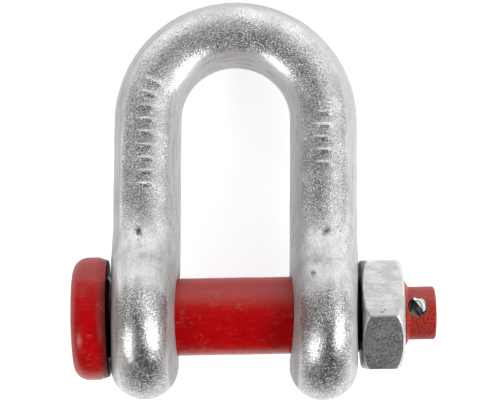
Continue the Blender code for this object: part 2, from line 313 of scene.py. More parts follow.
def bowSurface():
    # a section carried from one eye over the crown to the other; below the pin axis it turns about that axis
    bar, offset, length = bowSizes["barRadius"], bowSizes["legOffset"], bowSizes["legLength"]
    hole = bowSizes["holeRadius"] + bowSizes["holeChamfer"]
    shares, angles, starts = quarterColumns()
    last = len(shares) - 1
    order = np.concatenate([np.arange(last), np.arange(last, 0, -1), np.arange(last), np.arange(last, 0, -1)])
    quarter = np.repeat(np.arange(4), last)
    acrossSign = np.where((quarter == 0) | (quarter == 3), 1.0, -1.0)
    depthSign = np.where(quarter < 2, 1.0, -1.0)
    even = np.linspace(0, 1, last + 1)

    def sectionAt(distance, blend):
        # columns by arc length: those that fit the hole (blend 1) run over to even ones (blend 0)
        half = halfDepth(distance)
        flat = half - bar
        fitted = flat * shares[order] + bar * angles[order]
        spread = even[order] * (flat + bar * pi / 2)
        way = spread * (1 - blend) + fitted * blend
        turn = np.maximum(way - flat, 0) / bar
        depth = np.where(way < flat, way, flat + bar * np.sin(turn)) * depthSign
        across = draftedAcross(bar * np.cos(turn) * acrossSign, depth, half)
        return across, depth

    # each row of a leg is (distances from the pin axis, blend)
    eyeEnd, flareEnd = bowGrid["eyeEnd"], bowGrid["flareEnd"]
    rows = []
    for v in np.linspace(0, 1, bowGrid["eyeRows"] + 1)[:-1]:
        rows.append((starts[order] * (1 - v) + eyeEnd * v, 1.0))
    for v in np.linspace(0, 1, bowGrid["flareRows"] + 1)[:-1]:
        rows.append((np.full(len(order), eyeEnd + (flareEnd - eyeEnd) * v), 1 - v * v * (3 - 2 * v)))
    for distance in np.linspace(flareEnd, length, bowGrid["legRows"] + 1)[:-1]:
        rows.append((np.full(len(order), distance), 0.0))
    distances = np.array([distance for distance, blend in rows])
    sections = np.array([sectionAt(distance, blend) for distance, blend in rows])
    across, depth = sections[:, 0], sections[:, 1]
    legs = [np.stack([side * (offset + across), distances, depth], -1) for side in (1, -1)]
    across, depth = sectionAt(np.full(len(order), length), 0.0)
    bend = np.linspace(0, pi, bowGrid["crownRows"] + 1)[:, None]
    crown = np.stack([
        (offset + across) * np.cos(bend),
        length + (offset + across) * np.sin(bend),
        depth + 0 * bend,
    ], -1)
    patches = [(np.concatenate([legs[0], crown, legs[1][::-1]]), True)]

    # the lower half of each eye, and the wall of its pin hole
    turn = np.linspace(0, pi, bowGrid["rimRows"] + 1)[:, None]
    flatRadius = bowSizes["eyeRadius"] - bar
    outer = np.arange(bowGrid["holeColumns"], last + 1)
    spoke = np.concatenate([outer, outer[-2::-1]])
    radius = flatRadius * shares[spoke] + bar * np.sin(angles[spoke])
    sign = np.concatenate([np.ones(len(outer)), -np.ones(len(outer) - 1)])
    across = bar * np.cos(angles[spoke]) * sign
    down = -radius * np.sin(turn)
    out = radius * np.cos(turn)
    full = np.full(out.shape, bowSizes["eyeRadius"])
    rim = draftedAcross(across + 0 * turn, out, full)
    arc = np.linspace(0, pi / 2, bowGrid["holeColumns"] + 1)
    around = np.concatenate([-turn[:-1, 0], -pi - arc[:-1], -3 * pi / 2 - arc[:-1]])
    holeY, holeZ = hole * np.sin(around), hole * np.cos(around)
    edgeHalf = halfDepth(np.maximum(holeY, 0))
    face = draftedAcross(np.full(len(around), bar), holeZ, edgeHalf)
    back = draftedAcross(np.full(len(around), -bar), holeZ, edgeHalf)
    narrow = bowSizes["holeRadius"] / hole
    step = bowSizes["holeChamfer"]
    for side in (1, -1):
        patches.append((np.stack([side * (offset + rim), down, out], -1), False))
        wall = [np.stack([side * (offset + face), holeY, holeZ], -1)]
        for v in np.linspace(0, 1, bowGrid["wallRows"] + 1):
            x = (face - step) * (1 - v) + (back + step) * v
            wall.append(np.stack([side * (offset + x), holeY * narrow, holeZ * narrow], -1))
        wall.append(np.stack([side * (offset + back), holeY, holeZ], -1))
        patches.append((np.array(wall), True))
    return patches


# Plain even ribs across the legs; "left" and "right" are (first, last, how many) along that leg
bowRibs = {
    "height": 0.42,
    "halfWidth": 0.60,
    "edge": 0.50,
    "length": 6.4,
    "taper": 2.2,
    "left": (42.0, 77.0, 9),
    "right": (49.5, 66.5, 5),
}

# scars left by the forging dies, on the face: (leg, off the centre line, along the leg, radius, depth)
bowScars = [
    (-1, 2.0, 26.4, 1.0, 0.55),
    (-1, 1.4, 25.0, 0.7, 0.45),
    (-1, 1.9, 23.2, 0.4, 0.25),
    (-1, 1.6, 21.4, 0.35, 0.20),
    (-1, -2.0, 30.5, 0.4, 0.15),
    (1, 0.6, 26.6, 0.9, 0.45),
    (1, -0.5, 25.6, 0.6, 0.30),
    (1, -4.2, 11.4, 0.7, 0.40),
    (1, -4.6, 9.8, 0.5, 0.30),
    (1, 3.2, 33.0, 0.4, 0.15),
]

# the forged skin; a pair is where a change starts and ends
bowSkin = {
    "waves": [(0.10, 14.0, 3), (0.05, 6.0, 5), (0.02, 2.2, 7)],
    "holeWaves": 0.25,
    "flashHeight": 0.10,
    "flashWidth": 0.9,
    "flashFrom": 17.0,
    "pitSize": 1.2,
    "pitDepth": 0.25,
    "scarFuzz": 0.7,
    # lengths along the leg from the pin axis: the dull eye, the pooled zinc and the part that links rub
    "duskEnd": (2.0, 9.0),
    "poolStart": (4.0, 7.5),
    "poolEnd": (24.0, 31.0),
    "rubEnd": (12.0, 24.0),
    # shares of the bar's radius out from its centre line: the grainy face's edge, rubbed side and the side
    # painted dark as shade beside the bolt's head
    "faceEdge": (0.46, 0.81),
    "faceMoreOnEye": 0.16,
    "faceMoreOnLeftLeg": 0.20,
    "rubSide": (0.35, 0.75),
    "shadeSide": (0.80, 0.96),
    "shadeReach": (19.5, 22.5),
}


def ribHeight(along, across, ribs):
    # distance to the nearest of the even cross ribs, turned into a low ridge with soft sides and tapered ends
    first, last, count = ribs
    pitch = (last - first) / (count - 1)
    nearest = first + pitch * np.clip(np.round((along - first) / pitch), 0, count - 1)
    half, taper = bowRibs["length"] / 2, bowRibs["taper"]
    ends = 1 - stepBetween(half - taper, half + taper / 2, np.abs(across))
    width, edge = bowRibs["halfWidth"], bowRibs["edge"]
    return bowRibs["height"] * ends * (1 - stepBetween(width - edge, width + edge, np.abs(along - nearest)))


def bowFinish(spot):
    # lift = ribs + forging waves + a low flash line on the parting plane - small pits - the scars; the layers
    # say where the zinc is grainy, dull, pooled, rubbed or pitted, where it is painted dark as shade beside
    # the bolt's head, and unbent is the place on the straight bar
    skin = bowSkin
    bar, offset, length = bowSizes["barRadius"], bowSizes["legOffset"], bowSizes["legLength"]
    x, y, z = spot.T
    fromPin = np.hypot(y, z)
    bend = np.arctan2(np.maximum(y - length, 0), np.abs(x))
    along = np.where(y < length, y, length + bend * offset)
    ring = np.where(y < length, np.abs(x), np.hypot(x, y - length)) - offset
    across = bar * np.arctan2(ring, np.maximum(z, 0.01)) * np.where(z > 0, 1, 0)
    leftRibs = ribHeight(along, across, bowRibs["left"])
    ribs = np.where(x < 0, leftRibs, ribHeight(along, across, bowRibs["right"])) * stepBetween(0.5, 3.0, z)
    waves = wavesOf(spot, skin["waves"])
    inHole = (fromPin < bowSizes["holeRadius"] + 0.1) & (np.abs(ring) < bar)
    flash = skin["flashHeight"] * np.exp(-(z / skin["flashWidth"]) ** 2)
    flash = flash * stepBetween(6.0, 9.0, np.abs(ring)) * (fromPin > skin["flashFrom"])
    pits = 0.5 * stepBetween(0.86, 0.98, cloudNoise(spot, skin["pitSize"], 11))
    pits = pits * stepBetween(0.1, 0.5, cloudNoise(spot, 9.0, 13))
    ragged = 1 + skin["scarFuzz"] * cloudNoise(spot, 0.6, 17)
    scarred = np.zeros(len(x))
    for leg, off, up, radius, depth in bowScars:
        far = np.hypot(ring - off, along - up) / radius * ragged
        scarred = np.maximum(scarred, depth * (1 - stepBetween(0.5, 1.3, far)) * (x * leg > 0) * (z > 0))
    rough = ribs + waves + flash - skin["pitDepth"] * pits - scarred
    lift = np.where(inHole, skin["holeWaves"] * waves, rough)
    pits = np.maximum(pits, np.minimum(scarred * 2.2, 1.0))
    # thick zinc lies smooth in the hollow between the bar and the eye, and on the sides
    wander = cloudNoise(spot, 5.0, 19)
    arch = along + 3.5 * (ring / bar) ** 2 + 0.8 * wander
    pooled = stepBetween(*skin["poolStart"], arch) * (1 - stepBetween(*skin["poolEnd"], along + 2 * wander))
    # the grainy face fades out towards the sides, later on the eyes and outside the left leg
    dusky = 1 - stepBetween(*skin["duskEnd"], along + wander)
    aside = ring / bar + 0.03 * cloudNoise(spot, 1.6, 37)
    leftLeg = (x < 0) * (aside > 0) * (1 - stepBetween(length - 10.0, length + 2.0, y)) * (1 - dusky)
    edgeStart, edgeEnd = skin["faceEdge"]
    edgeStart = edgeStart + skin["faceMoreOnEye"] * dusky + skin["faceMoreOnLeftLeg"] * leftLeg
    face = (1 - stepBetween(edgeStart, edgeEnd, np.abs(aside))) * (1 - 0.55 * pooled)
    run = np.where(x < 0, along, 2 * length + pi * offset - along)
    # links have rubbed the eyes' inner sides, and beside the bolt's head the outer side is painted dark as
    # shade
    rubbed = stepBetween(*skin["rubSide"], -ring / bar)
    rubbed = rubbed * (1 - stepBetween(*skin["rubEnd"], along + 2 * wander))
    paintedShade = stepBetween(*skin["shadeSide"], ring / bar) * (x < 0)
    paintedShade = paintedShade * (1 - stepBetween(*skin["shadeReach"], fromPin))
    return lift, {
        "unbent": np.stack([ring, run, z], 1),
        # pits and scars, and the painted shade beside the bolt's head
        "pitAndShade": np.where(inHole, 0, np.maximum(pits, 0.8 * paintedShade)),
        "face": face,
        "dusky": dusky,
        "pooled": pooled * stepBetween(2.0, 6.0, z),
        "rubbed": rubbed,
    }


# The red bolt

boltGrid = {
    "holeColumns": 12,
    "sideColumns": 22,
    "shankRows": 90,
    "threadRows": 110,
    "tipRows": 9,
    "endRows": 8,
    "wallRows": 14,
    # the search for the cross hole's edge starts this far below the hole and halves its interval so often
    "searchBelow": 0.6,
    "halvings": 44,
}


def boltColumns():
    # angles round the bolt from +X: even steps round the cross hole's edge, then even steps down the side
    angle = np.linspace(pi / 2, 0, boltGrid["holeColumns"] + 1)
    nearHole = np.arcsin(boltSizes["holeRadius"] * np.cos(angle) / boltSizes["tipRadius"])
    side = np.linspace(nearHole[-1], pi / 2, boltGrid["sideColumns"] + 1)[1:]
    quarter = np.concatenate([nearHole, side])
    half = np.concatenate([quarter, pi - quarter[-2::-1]])
    return np.concatenate([half, 2 * pi - half[-2:0:-1]])


def endRadius(height):
    # the bolt's radius past the thread: the 60 degree chamfer, then the plain tip
    cone = boltSizes["tipRadius"] + (threadEnd - height) * tan(boltSizes["threadChamfer"])
    return np.clip(cone, boltSizes["tipRadius"], boltSizes["threadRadius"])


def boltSurface():
    # a profile turned round the axis; the thread's ridge climbs with the angle, the cross hole splits the tip
    s = boltSizes
    columns = boltColumns()
    head, shank = s["headRadius"], s["shankRadius"]
    headFace = eyeOuterFace + clearance + head * tan(skew)
    headEnd = headFace + s["headThickness"]
    outer, inner, fillet = s["headOuterRound"], s["headInnerRound"], s["headFillet"]
    bevelLength, bevelDrop = s["headBevel"]
    bevelStart = -headFace - bevelLength
    bevelled = head - bevelDrop
    shoulder = nutInnerFace - clearance
    chamfer = s["shoulderChamfer"]
    root = s["threadRadius"] - s["threadDepth"]
    profile = np.concatenate([
        linePoints((0, -headEnd), (head - outer, -headEnd), 12),
        arcPoints(head - outer, outer - headEnd, outer, -pi / 2, 0, 14)[1:],
        linePoints((head, outer - headEnd), (head, bevelStart), 8)[1:],
        linePoints((head, bevelStart), (bevelled, -headFace - inner), 4)[1:],
        arcPoints(bevelled - inner, -headFace - inner, inner, 0, pi / 2, 8)[1:],
        linePoints((bevelled - inner, -headFace), (shank + fillet, -headFace), 4)[1:],
        arcPoints(shank + fillet, fillet - headFace, fillet, 3 * pi / 2, pi, 4)[1:],
        linePoints((shank, fillet - headFace), (shank, shoulder - chamfer), boltGrid["shankRows"])[1:],
        linePoints((shank, shoulder - chamfer), (shank - chamfer, shoulder), 2)[1:],
        linePoints((shank - chamfer, shoulder), (root, shoulder), 3)[1:],
    ])
    body = turnedPoints(profile[:, :1], columns, profile[:, 1:])

    threadStop = threadEnd - s["threadStop"]
    heights = np.linspace(shoulder, threadStop, boltGrid["threadRows"] + 1)[:, None]
    phase = heights / s["threadPitch"] - columns / (2 * pi)
    crest, flank = s["threadRidge"]
    ridge = np.clip(crest - flank * np.abs((phase % 1) - 0.5), 0, 1)
    fadeStart, fadeEnd = s["threadRunOut"]
    fade = stepBetween(threadStop - fadeStart, threadStop - fadeEnd, heights)
    threadRadius = root + s["threadDepth"] * np.maximum(ridge, fade)
    threadRadius[0] = root
    thread = turnedPoints(np.minimum(threadRadius, endRadius(heights)), columns, heights)

    # the hole's edge below and above its middle, found by halving the interval for the part on the cone
    lateral = np.abs(np.sin(columns))
    low = np.full(len(columns), crossHoleHeight - s["holeRadius"] - boltGrid["searchBelow"])
    high = np.full(len(columns), crossHoleHeight)
    for _ in range(boltGrid["halvings"]):
        middle = (low + high) / 2
        outside = (middle - crossHoleHeight) ** 2 + (endRadius(middle) * lateral) ** 2 > s["holeRadius"] ** 2
        low, high = np.where(outside, middle, low), np.where(outside, high, middle)
    inHole = s["tipRadius"] * lateral < s["holeRadius"] - 1e-9
    lower = np.where(inHole, low, crossHoleHeight)
    rise = np.sqrt(np.maximum(s["holeRadius"] ** 2 - (s["tipRadius"] * lateral) ** 2, 0))
    upper = crossHoleHeight + np.where(inHole, rise, 0)
    crease = np.minimum(threadEnd, lower)

    def band(start, stop, rows):
        v = np.linspace(0, 1, rows + 1)[:, None]
        height = start * (1 - v) + stop * v
        return turnedPoints(endRadius(height), columns, height)

    tipEnd = threadEnd + s["tipLength"]
    tipTop = tipEnd - s["tipChamfer"]
    rounded = s["tipRadius"] - s["tipChamfer"]
    tip = np.concatenate([
        linePoints((s["tipRadius"], tipTop), (rounded, tipEnd), 3),
        linePoints((rounded, tipEnd), (0, tipEnd), boltGrid["endRows"])[1:],
    ])

    # the hole's wall runs straight through along X, from the edge at one side to the edge at the other
    near = np.arange(-boltGrid["holeColumns"], boltGrid["holeColumns"] + 1)
    edgeHeight = np.concatenate([lower[near], upper[near][-2:0:-1]])
    edgeAside = np.sin(columns[near])
    radii = np.concatenate([endRadius(lower[near]), endRadius(upper[near])[-2:0:-1]])
    edgeAside = np.concatenate([edgeAside, edgeAside[-2:0:-1]]) * radii
    edgeOut = np.sqrt(radii ** 2 - edgeAside ** 2)
    depth = np.linspace(1, -1, boltGrid["wallRows"] + 1)[:, None]
    wall = np.stack([edgeOut * depth, edgeAside + 0 * depth, edgeHeight + 0 * depth], -1)
    return [
        (body, True),
        (thread, True),
        (band(np.full(len(columns), threadStop), crease, 6), True),
        (band(crease, lower, boltGrid["tipRows"]), True),
        (band(upper, np.full(len(columns), tipTop), boltGrid["tipRows"] + 3), True),
        (turnedPoints(tip[:, :1], columns, tip[:, 1:]), True),
        (wall, True),
    ]


boltSkin = {
    "waves": [(0.06, 11.0, 21), (0.025, 4.0, 23)],
    "dentDepth": 0.12,
    # the paint is paler on the side towards the crown from this height above the axis, over a soft edge:
    # (head, shank, tip)
    "paleFrom": (12.2, 5.6, 6.2),
    "paleSoft": (0.35, 3.5, 1.2),
    # a change's start and end, from the head's outer face, left eye, threaded end and right eye in turn; the
    # second and the fourth mark where shade is painted dark
    "rimWidth": (1.9, 0.8),
    "bevelShade": (1.0, 4.4),
    "tipBefore": (2.2, 1.2),
    "eyeShade": (2.4, 1.4),
    # the line of painted shade on and beside the head's inner face, out from the left eye
    "headShade": (-0.3, 0.95),
}


def boltFinish(spot):
    # lift = slow waves of a forged blank under paint - small dents, and nothing past the shoulder; the layers
    # say where the paint is paler on the side above or dusty, where shade is painted dark on the head's inner
    # bevel and in the gaps beside the eyes, and where the cross hole is bare
    skin = boltSkin
    height = spot[:, 2]
    dents = skin["dentDepth"] * stepBetween(0.75, 0.95, cloudNoise(spot, 2.4, 25))
    turned = stepBetween(nutInnerFace - 2.0, nutInnerFace - 1.0, height)
    onHead, onTip = height < -eyeOuterFace, height >= threadEnd
    edge, soft = [np.select([onHead, onTip], [head, tip], shank)
                  for head, shank, tip in (skin["paleFrom"], skin["paleSoft"])]
    upper = spot @ np.array(boltPlace.to_3x3())[1]
    # the paint turns paler above a soft line on the side towards the crown
    paleRed = stepBetween(edge - soft, edge + soft, upper + 0.5 * cloudNoise(spot, 2.0, 27))
    headEnd = eyeOuterFace + clearance + boltSizes["headThickness"]
    rimStart, rimEnd = skin["rimWidth"]
    rim = stepBetween(headEnd - rimStart, headEnd - rimEnd, -height + 0.4 * cloudNoise(spot, 1.5, 29))
    # the head's inner bevel, where shade is painted dark
    bevelStart, bevelEnd = skin["bevelShade"]
    bevel = 1 - stepBetween(eyeOuterFace + bevelStart, eyeOuterFace + bevelEnd, -height)
    bevel = bevel * (onHead & (np.hypot(spot[:, 0], spot[:, 1]) > boltSizes["shankRadius"] + 1))
    tipStart, tipFull = skin["tipBefore"]
    # the bolt from inside the right eye out to the nut's outer face, and the line under the head, are painted
    # dark as shade
    shadeStart, shadeFull = skin["eyeShade"]
    gapShade = stepBetween(eyeOuterFace - shadeStart, eyeOuterFace - shadeFull, height) * (height < nutOuterFace)
    shadeLow, shadeHigh = skin["headShade"]
    underHead = (-height > eyeOuterFace + shadeLow) & (-height < eyeOuterFace + shadeHigh)
    inHole = np.hypot(spot[:, 1], height - crossHoleHeight) < boltSizes["holeRadius"] + 0.02
    return (wavesOf(spot, skin["waves"]) - dents) * (1 - turned), {
        "bare": inHole.astype(float),
        "paleRed": paleRed,
        "rim": rim,
        "bevel": bevel,
        "tip": stepBetween(threadEnd - tipStart, threadEnd - tipFull, height),
        "gapShade": np.maximum(gapShade, underHead.astype(float)),
    }


# The hexagon nut

nutGrid = {
    "sideSteps": 40,
    "chamferRows": 20,
    "middleRows": 16,
    "faceRows": 8,
    "boreRows": 10,
    "cornerSoftness": 0.16,
    "edgeSoftness": 0.07,
    "cornerMargin": 0.15,
}


def softMin(first, second, softness):
    # the smaller of two values, with the change from one to the other rounded off
    both = np.minimum(first, second)
    return both - softness * np.log(np.exp((both - first) / softness) + np.exp((both - second) / softness))


def nutSurface():
    # at each angle and height the radius is the hexagon's or the chamfer's, whichever is less, softly joined;
    # each chamfer rises from its face's inset to the corners as 1 - (1 - t)^power
    apothem = nutSizes["acrossFlats"] / 2
    top = nutSizes["thickness"] / 2
    inner, outer = [apothem - inset for inset in nutSizes["faceInsets"]]
    warp = np.linspace(-1, 1, nutGrid["sideSteps"] + 1)[:-1]
    side = radians(30) * np.sin(warp * pi / 2)
    columns = np.concatenate([side + radians(60) * i + radians(30) for i in range(6)])
    middles = [columns - radians(60) * i - radians(30) for i in range(6)]
    sides = [apothem / np.maximum(np.cos(angle), 0.05) for angle in middles]
    hexagon = sides[0]
    for other in sides[1:]:
        hexagon = softMin(hexagon, other, nutGrid["cornerSoftness"])
    corner = apothem / cos(radians(30)) + nutGrid["cornerMargin"]
    innerLength, outerLength = nutSizes["chamferLengths"]
    slope = np.linspace(0, 1, nutGrid["chamferRows"] + 1)
    upper = top - outerLength * slope
    lower = innerLength * slope[::-1] - top
    middle = np.linspace(upper[-1], lower[0], nutGrid["middleRows"] + 1)[1:-1]
    heights = np.concatenate([upper, middle, lower])[:, None]

    def chamferAt(way, length, start):
        return start + (corner - start) * (1 - (1 - np.clip(way / length, 0, 1)) ** nutSizes["chamferPower"])

    chamfer = np.minimum(
        chamferAt(top - heights, outerLength, outer),
        chamferAt(top + heights, innerLength, inner),
    )
    radius = softMin(hexagon + 0 * chamfer, chamfer + 0 * hexagon, nutGrid["edgeSoftness"])
    outside = turnedPoints(radius, columns, heights)
    bore, sink = nutSizes["boreRadius"], nutSizes["countersink"]
    patches = [(outside, True)]
    for sign, edge in ((1, outside[0]), (-1, outside[-1])):
        v = np.linspace(0, 1, nutGrid["faceRows"] + 1)[:, None, None]
        mouth = turnedPoints(bore + sink, columns, sign * top)
        patches.append((edge * (1 - v) + mouth * v, True))
    rings = [(bore + sink, top), (bore, top - sink)]
    rings += [(bore, height) for height in np.linspace(top - sink, sink - top, nutGrid["boreRows"] + 1)[1:]]
    rings += [(bore + sink, -top)]
    rings = np.array(rings)
    patches.append((turnedPoints(rings[:, :1], columns, rings[:, 1:]), True))
    return patches


def nutFinish(spot):
    # drawn bar is nearly flat: a slow wave and a few small dents
    waves = 0.025 * cloudNoise(spot, 9.0, 31)
    dents = -0.10 * stepBetween(0.80, 0.95, cloudNoise(spot, 2.0, 33))
    return (waves + dents) * (np.hypot(spot[:, 0], spot[:, 1]) > nutSizes["boreRadius"] + 0.2), {}


# The split pin

def wireLine():
    # the flat's line from the short leg's end, round the eye and back up the long leg, as (across, up); the
    # eye and the two neck bends are circles that touch
    leg = pinSizes["legSpace"] / 2
    opening = pinSizes["eyeOpening"] / 2
    bend = pinSizes["neckBend"]
    reachIn = max(0.0, threadEnd - (crossHoleHeight - boltSizes["holeRadius"]))
    onCone = boltSizes["tipRadius"] + reachIn * tan(boltSizes["threadChamfer"])
    mouth = min(boltSizes["threadRadius"], onCone)
    neck = -(mouth + clearance)
    rise = sqrt((opening + bend) ** 2 - (leg + bend) ** 2)
    parting = asin(rise / (opening + bend))
    longEnd = boltSizes["tipRadius"] + pinSizes["longStandout"]
    shortEnd = boltSizes["tipRadius"] - pinSizes["shortSetback"]
    angle = np.linspace(0, parting, 15)
    neckX = leg + bend * (1 - np.cos(angle))
    neckY = neck - bend * np.sin(angle)
    turn = np.linspace(parting, -pi / 2, 31)[1:]
    eyeX = opening * np.cos(turn)
    eyeY = neck - rise + opening * np.sin(turn)
    sideX = np.concatenate([neckX, eyeX])
    sideY = np.concatenate([neckY, eyeY])
    legUp = np.linspace(shortEnd, neck, 30)[:-1]
    longUp = np.linspace(neck, longEnd, 36)[1:]
    x = np.concatenate([np.full(len(legUp), -leg), -sideX, sideX[-2::-1], np.full(len(longUp), leg)])
    y = np.concatenate([legUp, sideY, sideY[-2::-1], longUp])
    return np.stack([x, y], 1)


def wireSurface():
    # a half-round section carried along that line with its round side outwards, and closed at both ends
    line = wireLine()
    tangent = np.gradient(line, axis=0)
    tangent /= np.linalg.norm(tangent, axis=1)[:, None]
    outward = np.stack([tangent[:, 1], -tangent[:, 0]], 1)
    deep, wide = pinSizes["wireDepth"], pinSizes["wireHalfWidth"]
    angle = np.linspace(-pi / 2, pi / 2, 21)
    across = np.concatenate([deep * np.cos(angle), np.zeros(9)])
    broad = np.concatenate([wide * np.sin(angle), np.linspace(wide, -wide, 11)[1:-1]])
    centre = deep * pinSizes["middleShare"]
    # an end from its middle outwards, as (how far it is set in, share of the section)
    dish, edge = pinSizes["endDish"], pinSizes["endEdge"]
    ends = [(0.0, 0.0), (0.0, pinSizes["endFlat"])]
    ends += [(dish * (1 - rise), 1 - edge * (1 - rise)) for rise in np.sin(np.linspace(0, pi / 2, 6))]
    rows = [(line[0] + tangent[0] * setIn, outward[0], size) for setIn, size in ends]
    rows += [(point, out, 1.0) for point, out in zip(line[1:-1], outward[1:-1])]
    rows += [(line[-1] - tangent[-1] * setIn, outward[-1], size) for setIn, size in ends[::-1]]
    surface = []
    for point, out, size in rows:
        standing = centre + (across - centre) * size
        x, y = point[0] + out[0] * standing, point[1] + out[1] * standing
        surface.append(np.stack([x, y, broad * size], -1))
    return [(np.array(surface), True)]


def wireSkin(spot):
    # small waves of bent wire
    return wavesOf(spot, [(0.02, 2.5, 41)]), {}


# Finishes

def addNode(tree, kind, inputs=None, **settings):
    # one shader node; an input is a plain value or another node's socket
    made = tree.nodes.new("ShaderNode" + kind)
    for name, value in settings.items():
        setattr(made, name, value)
    for key, value in (inputs or {}).items():
        if isinstance(value, bpy.types.NodeSocket):
            tree.links.new(value, made.inputs[key])
        else:
            made.inputs[key].default_value = value
    return made


def noiseOf(tree, place, size, detail, rough, stretch=(1, 1, 1), offset=(0, 0, 0)):
    # cloudy noise whose patches are about size millimetres, longer along an axis whose stretch is above 1
    scale = tuple(1 / (size * factor) for factor in stretch)
    moved = addNode(tree, "Mapping", {"Vector": place, "Location": offset, "Scale": scale})
    inputs = {"Vector": moved.outputs[0], "Scale": 1.0, "Detail": detail, "Roughness": rough}
    return addNode(tree, "TexNoise", inputs).outputs["Fac"]


def patternsOf(tree, place, table):
    # one noise for each line of a table: (size in millimetres, detail, roughness, stretch, offset)
    return [noiseOf(tree, place, *settings) for settings in table.values()]


def ramp(tree, value, low, high, toLow=0.0, toHigh=1.0):
    # value from low to high becomes toLow to toHigh, smoothly and held outside
    inputs = {"Value": value, "From Min": low, "From Max": high, "To Min": toLow, "To Max": toHigh}
    return addNode(tree, "MapRange", inputs, interpolation_type="SMOOTHSTEP").outputs["Result"]


def combine(tree, operation, first, second):
    # one Math node on two values; times, plus and larger are the three that are used most
    return addNode(tree, "Math", {0: first, 1: second}, operation=operation).outputs[0]


def times(tree, first, second):
    return combine(tree, "MULTIPLY", first, second)


def plus(tree, first, second):
    return combine(tree, "ADD", first, second)


def larger(tree, first, second):
    return combine(tree, "MAXIMUM", first, second)


def mixColours(tree, factor, first, second):
    # colour sockets of the Mix node are numbers 6 and 7, its colour result is output 2
    return addNode(tree, "Mix", {0: factor, 6: first, 7: second}, data_type="RGBA").outputs[2]


def attributeOf(tree, name, output="Vector"):
    return addNode(tree, "Attribute", attribute_name=name).outputs[output]


def bumpFrom(tree, heights):
    # heights are (socket, millimetres) pairs, added up
    total = None
    for socket, height in heights:
        scaled = times(tree, socket, height)
        total = scaled if total is None else plus(tree, total, scaled)
    return addNode(tree, "Bump", {"Height": total, "Distance": mm, "Strength": 1.0}).outputs["Normal"]


def newMaterial(name):
    material = bpy.data.materials.new(name)
    material.use_nodes = True
    tree = material.node_tree
    return material, tree, tree.nodes["Principled BSDF"]


def connect(tree, shader, links):
    for name, socket in links.items():
        tree.links.new(socket, shader.inputs[name])


galvanisedLook = {
    "bright": (0.90, 0.90, 0.895, 1),
    "grey": (0.70, 0.70, 0.695, 1),
    "side": (0.59, 0.59, 0.585, 1),
    # the dark stain colour, also used for the painted shade beside the bolt's head
    "stainAndShade": (0.12, 0.118, 0.115, 1),
    "patterns": {
        "grain": (0.36, 2, 0.6),
        "lumps": (1.2, 2, 0.5, (1, 1, 1), (7, 3, 1)),
        "clouds": (8.0, 3, 0.6, (1, 1, 1), (2, 9, 4)),
        "specks": (0.9, 1, 0.5, (1, 1, 1), (5, 5, 8)),
    },
    # these two run along the bar
    "drawnPatterns": {
        "streak": (0.8, 2, 0.5, (1, 14, 1)),
        "flow": (2.6, 2, 0.5, (1, 3, 1), (4, 0, 2)),
    },
    # how high they stand, in millimetres
    "grainHeight": 0.10,
    "saltHeight": 0.10,
    "lumpHeight": 0.055,
    "streakHeight": 0.04,
    # roughness of the smooth zinc and of the dull hollows, what the white salt adds, and that of the sides
    "rough": (0.15, 0.34),
    "saltRough": 0.32,
    "sideRough": 0.45,
    "sideMetal": 0.40,
}


def galvanisedFinish():
    # zinc over a blasted forging: the faces a fine bright grain with dull hollows, the sides smooth and drawn
    look = galvanisedLook
    material, tree, shader = newMaterial("galvanised")
    layers = ("pitAndShade", "face", "pooled", "dusky", "rubbed")
    pitAndShade, face, pooled, dusky, rubbed = [attributeOf(tree, name, "Fac") for name in layers]
    grain, lumps, clouds, specks = patternsOf(tree, attributeOf(tree, "place"), look["patterns"])
    streak, flow = patternsOf(tree, attributeOf(tree, "unbent"), look["drawnPatterns"])
    onFace = larger(tree, ramp(tree, face, 0.0, 0.9, 0.12, 1.0), times(tree, rubbed, 0.6))
    hollow = ramp(tree, grain, 0.38, 0.58, 1.0, 0.0)
    tone = mixColours(tree, ramp(tree, clouds, 0.35, 0.65), look["grey"], look["bright"])
    drawn = mixColours(tree, ramp(tree, streak, 0.45, 0.70, 0.0, 0.30), look["side"], look["stainAndShade"])
    tone = mixColours(tree, ramp(tree, face, 0.0, 0.6), drawn, tone)
    speckled = times(tree, ramp(tree, specks, 0.66, 0.74), ramp(tree, clouds, 0.45, 0.62, 0.2, 0.8))
    # stains: where links rub, in the pooled zinc, in the hollows of the grain, in specks and pits; the pit
    # layer also brings the painted shade beside the bolt's head
    stainsAndShade = [
        times(tree, rubbed, ramp(tree, clouds, 0.4, 0.6, 0.10, 0.22)),
        times(tree, pooled, ramp(tree, flow, 0.42, 0.66, 0.0, 0.20)),
        times(tree, times(tree, hollow, onFace), ramp(tree, dusky, 0.0, 1.0, 0.70, 0.90)),
        larger(tree, speckled, pitAndShade),
    ]
    for stainAndShade in stainsAndShade:
        tone = mixColours(tree, stainAndShade, tone, look["stainAndShade"])
    salt = times(tree, ramp(tree, grain, 0.56, 0.64), onFace)
    rough = plus(tree, ramp(tree, hollow, 0.0, 1.0, *look["rough"]), times(tree, pitAndShade, 0.25))
    rough = plus(tree, rough, times(tree, salt, look["saltRough"]))
    rough = plus(tree, rough, times(tree, dusky, -0.03))
    rough = larger(tree, rough, ramp(tree, face, 0.0, 0.6, look["sideRough"], 0.0))
    bump = bumpFrom(tree, [
        (times(tree, grain, onFace), look["grainHeight"]), (salt, look["saltHeight"]),
        (lumps, look["lumpHeight"]), (streak, look["streakHeight"]),
    ])
    metal = ramp(tree, face, 0.0, 0.9, look["sideMetal"], 1.0)
    connect(tree, shader, {"Base Color": tone, "Roughness": rough, "Normal": bump, "Metallic": metal})
    return material


